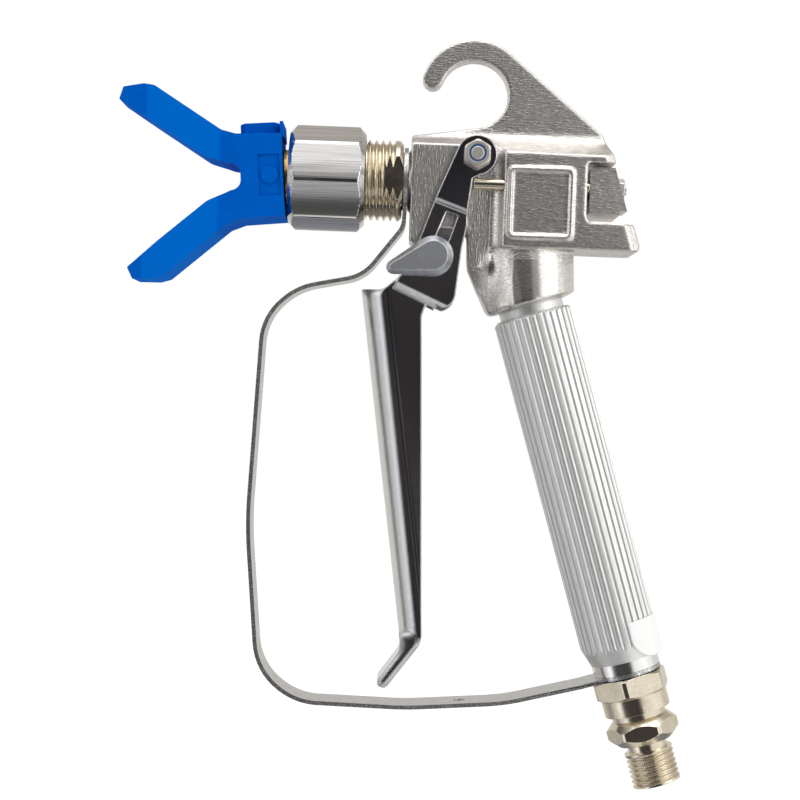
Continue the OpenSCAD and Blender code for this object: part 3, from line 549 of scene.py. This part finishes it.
# its sheared edges, which face sideways, are rougher than its rolled faces
tree = plated_strip.node_tree
facing = joined(tree, "ShaderNodeSeparateXYZ", {
    "Vector": joined(tree, "ShaderNodeTexCoord").outputs["Normal"]})
sideways = joined(tree, "ShaderNodeMath", {0: facing.outputs["Y"]}, operation="ABSOLUTE")
sheared = ramp(tree, sideways.outputs[0], 0.5, 0.8)
specks = joined(tree, "ShaderNodeTexNoise", {
    "Vector": joined(tree, "ShaderNodeTexCoord").outputs["Object"], "Scale": 2600.0, "Detail": 2.0})
shader = tree.nodes["Principled BSDF"]
torn = both(tree, sheared, ramp(tree, specks.outputs["Fac"], 0.5, 0.62))
tree.links.new(blended(tree, torn, feeding(shader.inputs["Base Color"]), (1.0, 1.0, 0.98, 1)),
               shader.inputs["Base Color"])
rougher = joined(tree, "ShaderNodeMath", {
    0: feeding(shader.inputs["Roughness"]), 1: ramp(tree, sheared, 0.0, 1.0, 0.0, 0.16)},
    operation="ADD")
tree.links.new(rougher.outputs[0], shader.inputs["Roughness"])
strip = broken_edges(merged_copy("guard_strip", "guard_band"), 0.00015)
stands_for(strip, plated_strip, "chrome_plate", "guard_strip")

# ---------------------------------------------------------------- handle
# An extruded tube with fine flutes, turned down to a cone and a plain collar at its foot.
satin = finish("satin tube", (0.88, 0.875, 0.86), (0.80, 0.80, 0.79), 1500, 160,
               0.42, 0.56, 4e-6, stretch=(1, 1, 0.05), turn=(0, -math.degrees(handle_lean), 0))
handle_axis = Vector((-math.sin(handle_lean), 0, math.cos(handle_lean)))
collar_top = 0.0354
# the collar is turned bright
tree = satin.node_tree
height = joined(tree, "ShaderNodeVectorMath", {
    0: feeding(tree.nodes["Mapping"].inputs["Vector"]), 1: handle_axis},
    operation="DOT_PRODUCT").outputs["Value"]
shader = tree.nodes["Principled BSDF"]
polish = ramp(tree, height, collar_top - 0.0002, collar_top + 0.0002, 0.4, 1.0)
tree.links.new(both(tree, polish, feeding(shader.inputs["Roughness"])), shader.inputs["Roughness"])
tube = broken_edges(merged_copy("handle_tube", "fluted_handle"), 0.0001, segments=1, sharp=25)
shape = bmesh.new()
shape.from_mesh(tube.data)
for edge in shape.edges:
    middle = (edge.verts[0].co + edge.verts[1].co) / 2
    on_shoulder = abs(middle.dot(handle_axis) - collar_top) < 0.0003
    if on_shoulder and edge.calc_face_angle(0) > math.radians(9):
        edge.smooth = False
shape.to_mesh(tube.data)
shape.free()
stands_for(tube, satin, "satin_alloy", "handle_tube")

# a blank white label, square at the top and round at the foot, stuck over the flutes low down
sticker_height = 0.0405
sticker_half = 0.0053
sticker_reach = 0.01112
sticker_turn, sticker_spread = 53, 40
white_vinyl = finish("white vinyl", (0.93, 0.93, 0.93), (0.88, 0.88, 0.89), 900, 200,
                     0.35, 0.5, 4e-6, metallic=0.0)
shape = bmesh.new()
bmesh.ops.create_grid(shape, x_segments=28, y_segments=28, size=1)
sideways = Vector((math.cos(handle_lean), 0, math.sin(handle_lean)))
for vert in shape.verts:
    across, up = vert.co.x, vert.co.y
    across *= math.sqrt(1 - min(0, up) ** 2 * 0.97)
    angle = math.radians(sticker_turn + sticker_spread * across)
    vert.co = (handle_axis * (sticker_height + up * sticker_half)
               + sideways * sticker_reach * math.sin(angle)
               + Vector((0, -sticker_reach * math.cos(angle), 0)))
bmesh.ops.recalc_face_normals(shape, faces=shape.faces)
bmesh.ops.solidify(shape, geom=shape.faces, thickness=0.00008)
sticker = shaded_smooth(new_piece("blank_label", shape))
sticker.data.materials.append(white_vinyl)
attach(sticker, "gun")

# inside the tube, the paint filter and the seal at its top
kept("handle_gasket", white_ptfe)
black_plastic = finish("black moulding", (0.03, 0.03, 0.035), (0.02, 0.02, 0.022), 900, 200,
                       0.35, 0.5, 5e-6, metallic=0.0)
mesh_wire = finish("woven mesh", (0.55, 0.53, 0.45), (0.2, 0.19, 0.16), 2500, 2400,
                   0.3, 0.5, 4e-5)
kept("filter_core", black_plastic)
kept("filter_mesh", mesh_wire)
kept("filter_spring", bright_steel)

# ---------------------------------------------------------------- hose swivel
# Nickelled brass: a hexagon screwed up into the handle, and a hexagon stem with the hose thread
# that turns in it.
housing = broken_edges(merged_copy("swivel_housing", "swivel_socket"), 0.0003)
stands_for(housing, nickel, "nickel", "swivel_housing")
stem = merged_copy("swivel_stem", "hose_fitting")
cut_thread(stem, Vector((0, 0, 0)), handle_axis, radius=0.0067, depth=0.00085, pitch=0.00141,
           start=0.0003, end=0.0086)
broken_edges(stem, 0.00008, segments=1)
stands_for(stem, nickel, "nickel", "swivel_stem")
rubber = finish("black rubber", (0.025, 0.025, 0.025), (0.015, 0.015, 0.015), 900, 200,
                0.5, 0.7, 5e-6, metallic=0.0)
kept("stem_o_ring", rubber)

# ---------------------------------------------------------------- spray head
# The nickelled diffuser screws into the body over the strip's ring, and the eight-sided nut
# holds the guard on its thread.
diffuser = merged_copy("diffuser", "threaded_diffuser")
diffuser_low, diffuser_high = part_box("diffuser")
head_radius = (diffuser_high.z - diffuser_low.z) / 2
head_start = Vector((diffuser_low.x, 0, (diffuser_low.z + diffuser_high.z) / 2))
cut_thread(diffuser, head_start, Vector((1, 0, 0)), radius=head_radius, depth=0.00111,
           pitch=0.00181, start=0.0110, end=0.0217)
broken_edges(diffuser, 0.00006, segments=1)
stands_for(diffuser, nickel, "nickel", "diffuser")
turned_alloy = finish("turned nut", (0.90, 0.89, 0.88), (0.46, 0.45, 0.44), 2600, 800,
                      0.10, 0.20, 1.1e-5, share=0.7, stretch=(0.02, 1, 1))
nut_low, nut_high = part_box("retaining_nut")
facet_turn = 8.3
facet_angle = 45
half_facet = facet_angle / 2
corner = (nut_high.z - nut_low.z) / 2 / math.cos(math.radians(facet_turn))
apothem = corner * math.cos(math.radians(half_facet))
nut_middle = (nut_low + nut_high) / 2
nut_length = nut_high.x - nut_low.x
nut_chamfer = 0.0019
face_reach = corner - nut_chamfer
crown = 0.00025
bore = 0.0085
thread_bore = 0.01115
front_wall = 0.0024
steps = 192


def facet_radius(angle, length):
    """How far the eight crowned facets reach at an angle, cut back by the end chamfers."""
    turn = (math.degrees(angle) - facet_turn) % facet_angle - half_facet
    rise = math.tan(math.radians(turn)) / math.tan(math.radians(half_facet))
    facet = apothem / math.cos(math.radians(turn)) + crown * (1 - rise * rise)
    return min(facet, face_reach + length, face_reach + nut_length - length)


# each ring is its place along the nut and its radius, or none where the facets give it
ends = [step * 0.00015 for step in range(1, 14)]
rings = [(0.0, face_reach), *[(length, None) for length in ends],
         *[(nut_length - length, None) for length in reversed(ends)], (nut_length, face_reach),
         (nut_length, thread_bore), (front_wall, thread_bore), (front_wall, bore), (0.0, bore)]
shape = bmesh.new()
loops = []
for length, radius in rings:
    loop = []
    for step in range(steps):
        angle = 2 * math.pi * step / steps
        reach = radius or facet_radius(angle, length)
        loop.append(shape.verts.new((nut_low.x + length, nut_middle.y + reach * math.cos(angle),
                                     nut_middle.z + reach * math.sin(angle))))
    loops.append(loop)
for first, second in zip(loops, loops[1:] + loops[:1]):
    for step in range(steps):
        after = (step + 1) % steps
        shape.faces.new((first[step], first[after], second[after], second[step]))
bmesh.ops.recalc_face_normals(shape, faces=shape.faces)
head_nut = shaded_smooth(new_piece("eight_sided_nut", shape))
head_nut.data.set_sharp_from_angle(angle=math.radians(24))
stands_for(head_nut, turned_alloy, "turned_alloy", "retaining_nut")

# ---------------------------------------------------------------- tip guard
# A blue moulded fork with a brass insert and a steel tip barrel turned by its blue flag.
blue_plastic = finish("blue moulding", (0.0, 0.115, 0.56), (0.0, 0.09, 0.47), 1300, 110,
                      0.38, 0.5, 2e-5, metallic=0.0,
                      Specular_IOR_Level=0.0, Coat_Weight=0.04, Coat_Roughness=0.3)
# between the creases at their tips and roots the prongs are painted a little lighter blue, a
# painted sheen for the light their tilted faces catch
tree = blue_plastic.node_tree
prong_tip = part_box("tip_guard")[0].x
place = joined(tree, "ShaderNodeSeparateXYZ", {
    "Vector": joined(tree, "ShaderNodeTexCoord").outputs["Object"]})
prong_painted_sheen = both(tree, ramp(tree, place.outputs["X"], prong_tip + 0.0074, prong_tip + 0.0082),
                ramp(tree, place.outputs["X"], prong_tip + 0.0290, prong_tip + 0.0275))
painted = tree.nodes["Principled BSDF"].inputs["Base Color"]
# the lighter blue mixed in here is a painted sheen, not the moulding's own colour
tree.links.new(blended(tree, prong_painted_sheen, feeding(painted), (0.0, 0.132, 0.58, 1)), painted)
fork = broken_edges(merged_copy("tip_guard", "fork_guard"), 0.0005)
stands_for(fork, blue_plastic, "blue_plastic", "tip_guard")
insert = broken_edges(merged_copy("guard_insert", "brass_insert"), 0.0002)
stands_for(insert, turned_brass, "brass", "guard_insert")
flag = broken_edges(merged_copy("tip_flag", "turning_flag"), 0.0003)
stands_for(flag, blue_plastic, "blue_plastic", "tip_flag")
kept("tip_seal", blue_nylon)
kept("tip_barrel", bright_steel)
kept("tip_orifice", ground_carbide)
